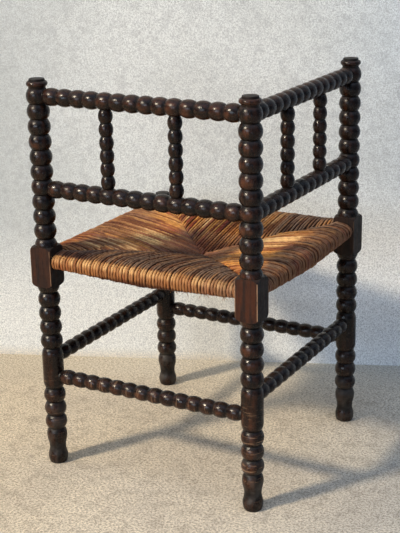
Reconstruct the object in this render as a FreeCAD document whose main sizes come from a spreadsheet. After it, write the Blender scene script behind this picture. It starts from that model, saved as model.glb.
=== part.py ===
import FreeCAD, Part
import Sketcher
import math
import os

from FreeCAD import Placement, Rotation, Vector

# Corner chair of turned wood with a rush seat, in millimetres.
# Origin on the floor under the middle of the seat, +Z up.
# The posts stand at the corners of a square whose sides lie along X and Y.
# The back corner is at (+X, -Y), and the sitter faces the front corner at (-X, +Y).

DRIVING_SIZES = {
    # distance between the axes of neighbouring posts
    "post_spacing": 412.0,
    # turned posts: rows of beads between a foot, a plain barrel, a square block and a cap
    "bead_pitch": 27.0,
    "post_bead_radius": 20.3,
    "post_neck_radius": 14.8,
    "ankle_bead_count": 3,
    "middle_bead_count": 4,
    "upper_bead_count": 10,
    "foot_height": 70.0,
    "foot_bulge_radius": 19.0,
    "foot_bulge_height": 57.0,
    "foot_waist_radius": 15.2,
    "foot_waist_height": 30.5,
    "foot_bulb_radius": 18.4,
    "foot_bulb_height": 13.5,
    "foot_sole_radius": 16.2,
    "foot_sole_chamfer": 1.6,
    "barrel_length": 80.0,
    "barrel_radius": 19.6,
    "cap_collar_radius": 15.6,
    "cap_collar_height": 3.4,
    "cap_ring_radius": 18.9,
    "cap_ring_height": 9.2,
    "cap_button_radius": 14.0,
    "cap_button_height": 4.2,
    "cap_button_edge_radius": 1.4,
    "cap_button_dome": 1.2,
    # square blocks, with corners turned down to a circle at each end
    "block_width": 42.0,
    "block_height": 75.0,
    "short_block_height": 57.5,
    "block_top_circle_radius": 22.5,
    "block_bottom_circle_radius": 20.6,
    "block_shoulder_height": 8.0,
    "block_shoulder_radius": 9.0,
    # where the rods meet the posts
    "lower_rail_bead": 7,
    "lower_rail_drop": 2.5,
    "stretcher_low_rise": 25.0,
    "stretcher_high_drop": 21.0,
    # beaded rods: back rails, stretchers and spindles
    "rail_bead_count": 14,
    "rail_bead_radius": 15.8,
    "rail_neck_radius": 12.0,
    "rail_bead_inset": 17.0,
    "rail_collar_length": 1.2,
    "stretcher_bead_count": 14,
    "stretcher_bead_radius": 14.3,
    "stretcher_neck_radius": 10.8,
    "stretcher_bead_inset": 20.5,
    "stretcher_collar_length": 4.0,
    "spindle_bead_count": 6,
    "spindle_bead_radius": 12.6,
    "spindle_neck_radius": 8.8,
    "spindle_bead_inset": 13.2,
    "spindle_collar_length": 1.0,
    "spindle_first_bead": 5,
    "spindle_second_bead": 10,
    # round tenons: the tip is how far the tenon stops short of the axis that it points at
    "rod_tenon_radius": 6.5,
    "rod_tenon_tip": 7.5,
    "spindle_tenon_radius": 4.5,
    "spindle_tenon_tip": 6.0,
    "bore_clearance": 0.1,
    # plain seat rails inside the rush
    "seat_rail_rise": 48.0,
    "seat_rail_height": 13.0,
    "seat_rail_depth": 26.0,
    "seat_rail_corner": 4.0,
    "seat_tenon_radius": 5.5,
    "seat_tenon_tip": 6.5,
    # rush seat: four puffed panels, each with a ridge near its edge and a fall to the valleys
    # along the seat's diagonals
    "rush_thickness": 5.5,
    "rush_gap": 0.3,
    "rush_edge_radius": 9.0,
    "rush_ridge_inset": 29.5,
    "rush_ridge_rise": 5.5,
    "rush_corner_dip": 1.5,
    "rush_bend_dip": 8.0,
    "rush_bend_share": 0.6,
    "rush_centre_dip": 32.5,
    "underside_sag": 8.0,
    "underside_centre_sag": 28.5,
    "panel_crown_radius": 1100.0,
    "panel_belly_radius": 740.0,
    "bend_crown_radius": 300.0,
    "corner_crown_radius": 14.0,
    "corner_belly_radius": 120.0,
    # stuffing inside each panel
    "stuffing_length": 280.0,
    "stuffing_cover": 7.0,
    "stuffing_outer_inset": 22.0,
    "stuffing_inner_inset": 16.0,
}


class Size:
    """A value together with the formula that ties it to the sheet of driving sizes."""

    def __init__(self, value, formula):
        self.value = value
        self.formula = formula

    def joined(self, sign, other, value):
        return Size(value, "(%s %s %s)" % (self.formula, sign, other.formula))

    def __add__(self, other):
        other = as_size(other)
        return self.joined("+", other, self.value + other.value)

    def __sub__(self, other):
        other = as_size(other)
        return self.joined("-", other, self.value - other.value)

    def __mul__(self, other):
        other = as_size(other)
        return self.joined("*", other, self.value * other.value)

    def __truediv__(self, other):
        other = as_size(other)
        return self.joined("/", other, self.value / other.value)


def as_size(number):
    if isinstance(number, Size):
        return number
    return Size(number, repr(number))


def make_sheet(document):
    """Write the driving sizes to the sheet and hand them back by name."""
    sheet = document.addObject("Spreadsheet::Sheet", "Sizes")
    named = {}
    for row, (name, value) in enumerate(DRIVING_SIZES.items(), start=1):
        sheet.set("A%d" % row, name)
        sheet.set("B%d" % row, str(value))
        sheet.setAlias("B%d" % row, name)
        named[name] = Size(value, "Sizes." + name)
    document.recompute()
    return named


document = FreeCAD.newDocument("CornerChair")
size = make_sheet(document)


# Sketches and turned features

def new_body(label):
    body = document.addObject("PartDesign::Body", label)
    body.Label = label
    return body


def origin_feature(body, role):
    """One of the planes and axes of a body's own origin."""
    return {feature.Role: feature for feature in body.Origin.OriginFeatures}[role]


def new_sketch(body, name, plane="XZ_Plane", lift=None, stand_off=None):
    """Add a sketch on an origin plane, moved up the sketch's own axis and off the plane."""
    sketch = body.newObject("Sketcher::SketchObject", "%s_%s" % (body.Name, name))
    sketch.AttachmentSupport = (origin_feature(body, plane), "")
    sketch.MapMode = "FlatFace"
    if lift is not None:
        sketch.setExpression("AttachmentOffset.Base.y", lift.formula)
    if stand_off is not None:
        sketch.setExpression("AttachmentOffset.Base.z", stand_off.formula)
    return sketch


def bind(sketch, constraint, length):
    index = sketch.addConstraint(constraint)
    sketch.setExpression("Constraints[%d]" % index, length.formula)


def arc_between(start, end, radius):
    """Arc of under a half circle. A positive radius turns left on the way, a negative one right."""
    half_chord = (end - start) / 2.0
    left = Vector(-half_chord.y, half_chord.x, 0.0).normalize()
    rise = math.sqrt(radius * radius - half_chord.Length ** 2)
    centre = start + half_chord + left * math.copysign(rise, radius)
    first, last = (start, end) if radius > 0 else (end, start)
    begin = math.atan2(first.y - centre.y, first.x - centre.x)
    finish = math.atan2(last.y - centre.y, last.x - centre.x)
    if finish < begin:
        finish += 2.0 * math.pi
    circle = Part.Circle(centre, Vector(0, 0, 1), abs(radius))
    return Part.ArcOfCircle(circle, begin, finish)


def draw_outline(sketch, corners):
    """Draw a closed outline through corners (across, up) or (across, up, radius of the arc there).

    A plain 0 ties a corner to the sketch's own axis.
    """
    points = [Vector(as_size(c[0]).value, as_size(c[1]).value, 0.0) for c in corners]
    edges = []
    for number, corner in enumerate(corners):
        start, end = points[number - 1], points[number]
        radius = corner[2] if len(corner) > 2 else None
        if radius is None:
            shape = Part.LineSegment(start, end)
        else:
            shape = arc_between(start, end, radius.value)
        backward = radius is not None and radius.value < 0
        edge = sketch.addGeometry(shape, False)
        edges.append((edge, 2, 1) if backward else (edge, 1, 2))
        if radius is not None:
            length = radius * -1 if backward else radius
            bind(sketch, Sketcher.Constraint("Radius", edge, length.value), length)
    for number, corner in enumerate(corners):
        edge, _, tail = edges[number]
        following, head, _ = edges[(number + 1) % len(edges)]
        sketch.addConstraint(Sketcher.Constraint("Coincident", edge, tail, following, head))
        for kind, axis, place in (("DistanceX", -2, corner[0]), ("DistanceY", -1, corner[1])):
            if isinstance(place, Size):
                bind(sketch, Sketcher.Constraint(kind, -1, 1, edge, tail, place.value), place)
            else:
                sketch.addConstraint(Sketcher.Constraint("PointOnObject", edge, tail, axis))


def swell_radius(rise, run):
    """Radius of an arc that is square to the rise at its widest and falls by rise over run."""
    return (rise * rise + run * run) / (rise * 2)


def turn(body, name, corners, lift=None):
    """Turn an outline round the body's upright axis."""
    sketch = new_sketch(body, name + "_outline", lift=lift)
    draw_outline(sketch, corners)
    turned = body.newObject("PartDesign::Revolution", "%s_%s" % (body.Name, name))
    turned.Profile = sketch
    turned.ReferenceAxis = (sketch, ["V_Axis"])
    turned.Angle = 360
    return turned


def turn_bead_row(body, name, lift, pitch, bead_radius, neck_radius, count):
    arc = swell_radius(bead_radius - neck_radius, pitch / 2)
    corners = [(0, 0), (neck_radius, 0), (neck_radius, pitch, arc), (0, pitch)]
    bead = turn(body, name, corners, lift)
    row = body.newObject("PartDesign::LinearPattern", "%s_%s_row" % (body.Name, name))
    row.Originals = [bead]
    row.Direction = (bead.Profile[0], ["V_Axis"])
    row.setExpression("Length", (pitch * (count - 1)).formula)
    row.setExpression("Occurrences", count.formula)
    body.Tip = row


# Sides of a body that a hole can enter: sketch plane, and whether the plane faces that side
SIDES = {
    "+x": ("YZ_Plane", True),
    "-x": ("YZ_Plane", False),
    "-y": ("XZ_Plane", True),
    "+y": ("XZ_Plane", False),
}


def bore(body, name, side, lift, floor, radius):
    """Bore a round hole in from one side, with its floor standing off the body's axis."""
    plane, faces_side = SIDES[side]
    stand_off = floor if faces_side else floor * -1
    sketch = new_sketch(body, name + "_circle", plane, lift, stand_off)
    circle = sketch.addGeometry(Part.Circle(Vector(), Vector(0, 0, 1), radius.value), False)
    sketch.addConstraint(Sketcher.Constraint("Coincident", circle, 3, -1, 1))
    bind(sketch, Sketcher.Constraint("Radius", circle, radius.value), radius)
    hole = body.newObject("PartDesign::Pocket", "%s_%s" % (body.Name, name))
    hole.Profile = sketch
    hole.Type = "ThroughAll"
    hole.Reversed = faces_side


def bore_for_rod(body, name, side, lift, rod):
    """A seat for the rod's collar and a deeper hole for its tenon."""
    clearance = size["bore_clearance"]
    bore(body, name + "_seat", side, lift, rod["shoulder"], rod["neck_radius"] + clearance)
    bore(body, name + "_mortise", side, lift, rod["tip"] - clearance, rod["tenon_radius"] + clearance)


def lay_down(body, heading, start, lift):
    """Lay an upright rod level, from a start point and along +X (heading 0) or +Y (heading 90)."""
    rotation = Rotation(Vector(0, 0, 1), heading) * Rotation(Vector(0, 1, 0), 90)
    body.Placement = Placement(Vector(), rotation)
    move_to(body, start, lift)


def move_to(body, start, lift):
    body.setExpression("Placement.Base.x", start[0].formula)
    body.setExpression("Placement.Base.y", start[1].formula)
    body.setExpression("Placement.Base.z", lift.formula)


# Heights up the post, each worked out from the one below

half_bead = size["bead_pitch"] / 2
barrel_bottom = size["foot_height"] + size["bead_pitch"] * size["ankle_bead_count"]
barrel_top = barrel_bottom + size["barrel_length"]
block_neck = barrel_top + size["bead_pitch"] * size["middle_bead_count"]
block_bottom = block_neck + half_bead
block_top = block_bottom + size["block_height"]
short_block_top = block_bottom + size["short_block_height"]
upper_neck = block_top + half_bead
cap_neck = upper_neck + size["bead_pitch"] * size["upper_bead_count"]

top_rail_height = cap_neck - half_bead
lower_rail_height = (cap_neck - size["bead_pitch"] * (size["lower_rail_bead"] - 0.5)
                     - size["lower_rail_drop"])
stretcher_low_height = barrel_bottom + size["stretcher_low_rise"]
stretcher_high_height = barrel_top - size["stretcher_high_drop"]
seat_rail_height = block_bottom + size["seat_rail_rise"]


# The rods, by kind: how long they are between axes, and their section and ends

def rod_kind(kind, tenon, span):
    inset = size[kind + "_bead_inset"]
    return {
        "span": span,
        "bead_inset": inset,
        "shoulder": inset - size[kind + "_collar_length"],
        "count": size[kind + "_bead_count"],
        "bead_radius": size[kind + "_bead_radius"],
        "neck_radius": size[kind + "_neck_radius"],
        "pitch": (span - inset * 2) / size[kind + "_bead_count"],
        "tenon_radius": size[tenon + "_tenon_radius"],
        "tip": size[tenon + "_tenon_tip"],
    }


rail = rod_kind("rail", "rod", size["post_spacing"])
stretcher = rod_kind("stretcher", "rod", size["post_spacing"])
spindle = rod_kind("spindle", "spindle", top_rail_height - lower_rail_height)


def turn_rod(label, rod):
    """A row of beads with a collar and a round tenon at each end, upright from its lower axis."""
    body = new_body(label)
    neck, tenon = rod["neck_radius"], rod["tenon_radius"]
    shoulder, tip, inset, span = rod["shoulder"], rod["tip"], rod["bead_inset"], rod["span"]
    turn(body, "first_end", [
        (0, tip), (tenon, tip), (tenon, shoulder), (neck, shoulder), (neck, inset), (0, inset)])
    turn_bead_row(body, "bead", inset, rod["pitch"], rod["bead_radius"], neck, rod["count"])
    turn(body, "last_end", [
        (0, span - inset), (neck, span - inset), (neck, span - shoulder),
        (tenon, span - shoulder), (tenon, span - tip), (0, span - tip)])
    return body


# Posts

corner = size["post_spacing"] / 2
near = corner * -1
POSTS = {
    "post_left": (near, near),
    "post_back": (corner, near),
    "post_right": (corner, corner),
    "post_front": (near, corner),
}


def turn_foot(body):
    """Vase-shaped foot: chamfered sole, bulb, waist and bulge, up to the first neck."""
    bulb, bulb_z = size["foot_bulb_radius"], size["foot_bulb_height"]
    waist, waist_z = size["foot_waist_radius"], size["foot_waist_height"]
    bulge, bulge_z = size["foot_bulge_radius"], size["foot_bulge_height"]
    sole, chamfer = size["foot_sole_radius"], size["foot_sole_chamfer"]
    neck, top = size["post_neck_radius"], size["foot_height"]
    low_rise, low_run = (bulb - waist) / 2, (waist_z - bulb_z) / 2
    high_rise, high_run = (bulge - waist) / 2, (bulge_z - waist_z) / 2
    low_arc = swell_radius(low_rise, low_run)
    high_arc = swell_radius(high_rise, high_run)
    turn(body, "foot", [
        (0, 0),
        (sole - chamfer, 0),
        (sole, chamfer),
        (bulb, bulb_z, swell_radius(bulb - sole, bulb_z - chamfer)),
        (bulb - low_rise, bulb_z + low_run, low_arc),
        (waist, waist_z, low_arc * -1),
        (waist + high_rise, waist_z + high_run, high_arc * -1),
        (bulge, bulge_z, high_arc),
        (neck, top, swell_radius(bulge - neck, top - bulge_z)),
        (0, top),
    ])


def turn_barrel(body):
    """Plain barrel with rounded ends, where the stretchers enter."""
    neck, wide, length = size["post_neck_radius"], size["barrel_radius"], size["barrel_length"]
    arc = swell_radius(wide - neck, half_bead)
    turn(body, "barrel", [
        (0, 0),
        (neck, 0),
        (wide, half_bead, arc),
        (wide, length - half_bead),
        (neck, length, arc),
        (0, length),
    ], barrel_bottom)


def turn_half_bead(body, name, lift, widens):
    neck, bead = size["post_neck_radius"], size["post_bead_radius"]
    arc = swell_radius(bead - neck, half_bead)
    below, above = (neck, bead) if widens else (bead, neck)
    turn(body, name, [(0, 0), (below, 0), (above, half_bead, arc), (0, half_bead)], lift)


def round_shoulder(body, name, lift, circle_radius, direction):
    """Turn a block's corners down to a circle, above (+1) or below (-1) the given height."""
    block_corner = size["block_width"] / math.sqrt(2.0)
    outside = block_corner + size["block_shoulder_height"]
    far = size["block_shoulder_height"] * direction
    sketch = new_sketch(body, name + "_outline", lift=lift)
    draw_outline(sketch, [
        (circle_radius, 0, size["block_shoulder_radius"] * -direction),
        (outside, 0),
        (outside, far),
        (block_corner, far),
    ])
    groove = body.newObject("PartDesign::Groove", "%s_%s" % (body.Name, name))
    groove.Profile = sketch
    groove.ReferenceAxis = (sketch, ["V_Axis"])
    groove.Angle = 360


def make_block(body, height, top):
    """Square block with turned shoulders."""
    half = size["block_width"] / 2
    sketch = new_sketch(body, "block_square", "XY_Plane", stand_off=block_bottom)
    draw_outline(sketch, [
        (half * -1, half * -1), (half, half * -1), (half, half), (half * -1, half)])
    block = body.newObject("PartDesign::Pad", body.Name + "_block")
    block.Profile = sketch
    block.setExpression("Length", height.formula)
    round_shoulder(body, "lower_shoulder", block_bottom, size["block_bottom_circle_radius"], 1)
    round_shoulder(body, "upper_shoulder", top, size["block_top_circle_radius"], -1)


def turn_cap(body, lift):
    """Ring on a short collar, with a low domed button on top."""
    neck, collar = size["post_neck_radius"], size["cap_collar_radius"]
    ring_bottom, ring_height = size["cap_collar_height"], size["cap_ring_height"]
    ring_top = ring_bottom + ring_height
    ring_arc = swell_radius(size["cap_ring_radius"] - collar, ring_height / 2)
    button, edge = size["cap_button_radius"], size["cap_button_edge_radius"]
    button_top = ring_top + size["cap_button_height"]
    dome = size["cap_button_dome"]
    turn(body, "cap", [
        (0, 0),
        (neck, 0),
        (collar, ring_bottom),
        (collar, ring_top, ring_arc),
        (button, ring_top),
        (button, button_top - edge),
        (button - edge, button_top, edge),
        (0, button_top + dome, swell_radius(dome, button - edge)),
    ], lift)


def bore_for_seat_rail(body, name, side):
    clearance = size["bore_clearance"]
    bore(body, name, side, seat_rail_height, size["seat_tenon_tip"] - clearance,
         size["seat_tenon_radius"] + clearance)


def make_post(label, back_sides, low_side, high_side, seat_sides):
    """One post. The sides say where back rails, stretchers and seat rails enter it."""
    body = new_body(label)
    bead, neck, pitch = size["post_bead_radius"], size["post_neck_radius"], size["bead_pitch"]
    turn_foot(body)
    turn_bead_row(body, "ankle", size["foot_height"], pitch, bead, neck, size["ankle_bead_count"])
    turn_barrel(body)
    turn_bead_row(body, "middle", barrel_top, pitch, bead, neck, size["middle_bead_count"])
    turn_half_bead(body, "under_block", block_neck, True)
    if back_sides:
        make_block(body, size["block_height"], block_top)
        turn_half_bead(body, "over_block", block_top, False)
        turn_bead_row(body, "upper", upper_neck, pitch, bead, neck, size["upper_bead_count"])
        turn_cap(body, cap_neck)
    else:
        make_block(body, size["short_block_height"], short_block_top)
        turn_cap(body, short_block_top)
    for number, side in enumerate(back_sides, start=1):
        bore_for_rod(body, "top_rail_%d" % number, side, top_rail_height, rail)
        bore_for_rod(body, "lower_rail_%d" % number, side, lower_rail_height, rail)
    bore_for_rod(body, "low_stretcher", low_side, stretcher_low_height, stretcher)
    bore_for_rod(body, "high_stretcher", high_side, stretcher_high_height, stretcher)
    for number, side in enumerate(seat_sides, start=1):
        bore_for_seat_rail(body, "seat_rail_%d" % number, side)
    move_to(body, POSTS[label], as_size(0.0))
    return body


def make_posts():
    return [
        make_post("post_left", ["+x"], "+x", "+y", ["+x", "+y"]),
        make_post("post_back", ["-x", "+y"], "-x", "+y", ["-x", "+y"]),
        make_post("post_right", ["-y"], "-x", "-y", ["-x", "-y"]),
        make_post("post_front", [], "+x", "-y", ["+x", "-y"]),
    ]


# Back rails, with holes for the spindles

SPINDLES_AT = {
    "outer": size["spindle_first_bead"],
    "inner": size["spindle_second_bead"],
}


def spindle_place(bead):
    """Distance from the rail's first post to the middle of the given bead."""
    return rail["bead_inset"] + rail["pitch"] * (bead - 0.5)


def make_back_rail(label, start_post, heading, lift, spindle_side):
    body = turn_rod(label, rail)
    for name, bead in SPINDLES_AT.items():
        bore_for_rod(body, name + "_spindle", spindle_side, spindle_place(bead), spindle)
    lay_down(body, heading, POSTS[start_post], lift)
    return body


def make_back(side, start_post, heading):
    """Top rail, lower rail and two spindles of one side of the back."""
    pieces = [
        make_back_rail("top_rail_" + side, start_post, heading, top_rail_height, "+x"),
        make_back_rail("lower_rail_" + side, start_post, heading, lower_rail_height, "-x"),
    ]
    start = POSTS[start_post]
    for name, bead in SPINDLES_AT.items():
        body = turn_rod("spindle_%s_%s" % (side, name), spindle)
        along = spindle_place(bead)
        if heading == 0:
            foot = (start[0] + along, start[1])
        else:
            foot = (start[0], start[1] + along)
        move_to(body, foot, lower_rail_height)
        pieces.append(body)
    return pieces


# Stretchers and seat rails, one of each on every side of the square

CHAIR_SIDES = {
    "back_left": ("post_left", 0, stretcher_low_height),
    "back_right": ("post_back", 90, stretcher_high_height),
    "front_right": ("post_front", 0, stretcher_low_height),
    "front_left": ("post_left", 90, stretcher_high_height),
}


def make_stretchers():
    bodies = []
    for side, (start_post, heading, lift) in CHAIR_SIDES.items():
        body = turn_rod("stretcher_" + side, stretcher)
        lay_down(body, heading, POSTS[start_post], lift)
        bodies.append(body)
    return bodies


def rail_section(room):
    """Corners of the seat rail's rounded section, enlarged all round by some room."""
    up = size["seat_rail_height"] / 2 + room
    out = size["seat_rail_depth"] / 2 + room
    rounding = size["seat_rail_corner"] + room
    return up, out, rounding


def rounded_rectangle(middle_across, middle_up, out, up, rounding):
    left, right = middle_across - out, middle_across + out
    bottom, top = middle_up - up, middle_up + up
    return [
        (left + rounding, bottom, rounding),
        (right - rounding, bottom),
        (right, bottom + rounding, rounding),
        (right, top - rounding),
        (right - rounding, top, rounding),
        (left + rounding, top),
        (left, top - rounding, rounding),
        (left, bottom + rounding),
    ]


def make_seat_rail(label):
    """Plain rail between two blocks with a round tenon at each end, upright from its first axis."""
    body = new_body(label)
    tip, tenon = size["seat_tenon_tip"], size["seat_tenon_radius"]
    face, span = size["block_width"] / 2, size["post_spacing"]
    turn(body, "tenons", [(0, tip), (tenon, tip), (tenon, span - tip), (0, span - tip)])
    up, out, rounding = rail_section(as_size(0.0))
    origin = as_size(0.0)
    sketch = new_sketch(body, "section", "XY_Plane", stand_off=face)
    draw_outline(sketch, rounded_rectangle(origin, origin, up, out, rounding))
    bar = body.newObject("PartDesign::Pad", label + "_bar")
    bar.Profile = sketch
    bar.setExpression("Length", (span - face * 2).formula)
    return body


def make_seat_rails():
    bodies = []
    for side, (start_post, heading, _) in CHAIR_SIDES.items():
        body = make_seat_rail("seat_rail_" + side)
        lay_down(body, heading, POSTS[start_post], seat_rail_height)
        bodies.append(body)
    return bodies


# Rush seat. Across is the distance from the seat's middle towards one seat rail.

rush_top = seat_rail_height + size["seat_rail_height"] / 2 + size["rush_thickness"]
rush_bottom = seat_rail_height - size["seat_rail_height"] / 2 - size["rush_thickness"]
rush_outer = corner + size["seat_rail_depth"] / 2 + size["rush_thickness"]
rush_end = corner - size["block_width"] / 2 - size["rush_gap"]
rush_bend = rush_end * size["rush_bend_share"]
ridge_across = rush_outer - size["rush_ridge_inset"]
ridge_top = rush_top + size["rush_ridge_rise"]
valley_centre = rush_top - size["rush_centre_dip"]
valley_bend = rush_top - size["rush_bend_dip"]
valley_corner = rush_top - size["rush_corner_dip"]


def loft_through(body, name, kind, stations, middle_outline):
    """Ruled loft along a panel, alike on both sides of its middle.

    A station is a label, its distance from the middle and the outline there, outermost first.
    """
    along = [(label + "_first", place * -1, outline) for label, place, outline in stations]
    along.append(("middle", None, middle_outline))
    along += [(label + "_last", place, outline) for label, place, outline in reversed(stations)]
    sketches = []
    for label, place, outline in along:
        sketch = new_sketch(body, "%s_%s" % (name, label), "YZ_Plane", stand_off=place)
        draw_outline(sketch, outline)
        sketches.append(sketch)
    loft = body.newObject(kind, "%s_%s" % (body.Name, name))
    loft.Profile = sketches[0]
    loft.Sections = [(sketch, [""]) for sketch in sketches[1:]]
    loft.Ruled = True
    return loft


def rush_section(inner, inner_top, share, belly, crown):
    """Section of a panel, with the given share of the sag that its underside has in the middle."""
    edge = size["rush_edge_radius"]
    inner_bottom = rush_bottom - size["underside_centre_sag"] * share
    bottom = rush_bottom - size["underside_sag"] * share
    # the edge turns over by 60 degrees, and the rest of the turn is the ridge
    brow_across = rush_outer - edge / 2
    brow_top = rush_top - edge + edge * (math.sqrt(3.0) / 2)
    ridge_arc = swell_radius(ridge_top - brow_top, brow_across - ridge_across)
    return [
        (inner, inner_bottom),
        (rush_outer - edge, bottom, belly),
        (rush_outer, bottom + edge, edge),
        (rush_outer, rush_top - edge),
        (brow_across, brow_top, edge),
        (ridge_across, ridge_top, ridge_arc),
        (inner, inner_top, crown),
    ]


def stuffing_loft(body, name, kind, room):
    """Flat pad under a panel's top, as thick as the rush leaves, enlarged by some room."""
    reach = size["stuffing_length"] / 2
    share = reach / rush_end
    cover = size["stuffing_cover"]
    outer = corner - size["stuffing_outer_inset"] + room
    belly, crown = size["panel_belly_radius"], size["panel_crown_radius"]
    top = rush_top - cover + room

    def section(inner, sink):
        inner_top = rush_top - size["rush_centre_dip"] * sink - cover + room
        inner_bottom = rush_bottom - size["underside_centre_sag"] * sink + cover - room
        outer_bottom = rush_bottom - size["underside_sag"] * sink + cover - room
        return [(inner, inner_bottom), (outer, outer_bottom, belly), (outer, top),
                (inner, inner_top, crown)]

    middle_inner = size["stuffing_inner_inset"] - room
    end = section(middle_inner + reach, as_size(1.0) - share)
    return loft_through(body, name, kind, [("end", reach + room, end)],
                        section(middle_inner, as_size(1.0)))


def make_rush_seat():
    body = new_body("rush_seat")
    whole = as_size(1.0)
    end = rush_section(rush_end, valley_corner, as_size(0.0),
                       size["corner_belly_radius"], size["corner_crown_radius"])
    bend = rush_section(rush_bend, valley_bend, whole - size["rush_bend_share"],
                        size["panel_belly_radius"], size["bend_crown_radius"])
    middle = rush_section(0, valley_centre, whole,
                          size["panel_belly_radius"], size["panel_crown_radius"])
    panel = loft_through(body, "panel", "PartDesign::AdditiveLoft",
                         [("end", rush_end, end), ("bend", rush_bend, bend)], middle)
    sketch = new_sketch(body, "rail_channel_outline", "YZ_Plane", stand_off=corner)
    up, out, rounding = rail_section(size["rush_gap"])
    draw_outline(sketch, rounded_rectangle(corner, seat_rail_height, out, up, rounding))
    channel = body.newObject("PartDesign::Pocket", "rush_seat_rail_channel")
    channel.Profile = sketch
    channel.Type = "ThroughAll"
    room = stuffing_loft(body, "stuffing_room", "PartDesign::SubtractiveLoft", size["rush_gap"])
    ring = body.newObject("PartDesign::PolarPattern", "rush_seat_panels")
    ring.Originals = [panel, channel, room]
    ring.Axis = (origin_feature(body, "Z_Axis"), [""])
    ring.Angle = 360
    ring.Occurrences = len(CHAIR_SIDES)
    body.Tip = ring
    return body


def make_stuffing():
    quarter_turns = {"front_right": 0, "front_left": 90, "back_left": 180, "back_right": 270}
    bodies = []
    for side, angle in quarter_turns.items():
        body = new_body("stuffing_" + side)
        stuffing_loft(body, "pad", "PartDesign::AdditiveLoft", as_size(0.0))
        body.Placement = Placement(Vector(), Rotation(Vector(0, 0, 1), angle))
        bodies.append(body)
    return bodies


# Build, check and write

def check(bodies):
    for item in document.Objects:
        if "Invalid" in item.State or "Error" in item.State:
            raise RuntimeError("%s failed: %s" % (item.Name, item.State))
        if item.TypeId == "PartDesign::Pocket" and item.Shape.Volume >= item.BaseFeature.Shape.Volume:
            raise RuntimeError("%s cuts nothing" % item.Name)
    for body in bodies:
        if body.Shape.isNull() or not body.Shape.isValid() or len(body.Shape.Solids) != 1:
            raise RuntimeError("%s is not one valid solid" % body.Label)


def write(bodies):
    os.makedirs("parts", exist_ok=True)
    for body in bodies:
        body.Shape.exportStep("parts/%s.step" % body.Label)
        print("%-26s %9.0f mm3" % (body.Label, body.Shape.Volume))


chair = make_posts()
chair += make_back("left", "post_left", 0)
chair += make_back("right", "post_back", 90)
chair += make_stretchers()
chair += make_seat_rails()
chair.append(make_rush_seat())
chair += make_stuffing()
document.recompute()
check(chair)
write(chair)
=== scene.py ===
import math
import random

import bpy
import numpy as np
from mathutils import Matrix, Vector


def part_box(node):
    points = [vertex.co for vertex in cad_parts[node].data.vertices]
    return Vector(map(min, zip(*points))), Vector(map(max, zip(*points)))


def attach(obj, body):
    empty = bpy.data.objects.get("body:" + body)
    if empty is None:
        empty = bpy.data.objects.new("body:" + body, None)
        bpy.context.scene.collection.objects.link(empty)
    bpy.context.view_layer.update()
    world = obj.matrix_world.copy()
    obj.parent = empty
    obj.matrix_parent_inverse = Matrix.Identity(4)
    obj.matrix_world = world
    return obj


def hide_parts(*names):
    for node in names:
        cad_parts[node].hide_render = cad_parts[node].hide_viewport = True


# Corner chair of dark turned wood with a rush seat. Metres, in the row's frame.

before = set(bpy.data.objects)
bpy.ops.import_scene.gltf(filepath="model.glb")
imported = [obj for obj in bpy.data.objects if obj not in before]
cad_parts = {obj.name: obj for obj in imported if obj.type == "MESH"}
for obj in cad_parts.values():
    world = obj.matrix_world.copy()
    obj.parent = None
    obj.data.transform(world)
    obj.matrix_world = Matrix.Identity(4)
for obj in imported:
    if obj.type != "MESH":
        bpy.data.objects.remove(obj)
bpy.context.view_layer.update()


# Camera

# The photograph's viewpoint, worked out from the chair's own corners, with angles in degrees
CAMERA_PLACE = (1.094, -1.970, 1.089)
CAMERA_HEADING = 29.17
CAMERA_DIP = 18.04
CAMERA_ROLL = -1.13
CAMERA_LENS = 85.45
SENSOR_WIDTH = 36.0


def rotation(degrees, axis):
    return Matrix.Rotation(math.radians(degrees), 4, axis)


def set_camera():
    bpy.ops.object.camera_add(location=CAMERA_PLACE)
    camera = bpy.context.object
    camera.name = "camera"
    aim = rotation(CAMERA_HEADING, "Z") @ rotation(90 - CAMERA_DIP, "X") @ rotation(CAMERA_ROLL, "Z")
    camera.rotation_euler = aim.to_euler()
    camera.data.lens = CAMERA_LENS
    camera.data.sensor_width = SENSOR_WIDTH
    bpy.context.scene.camera = camera


# Building finishes from nodes

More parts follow.
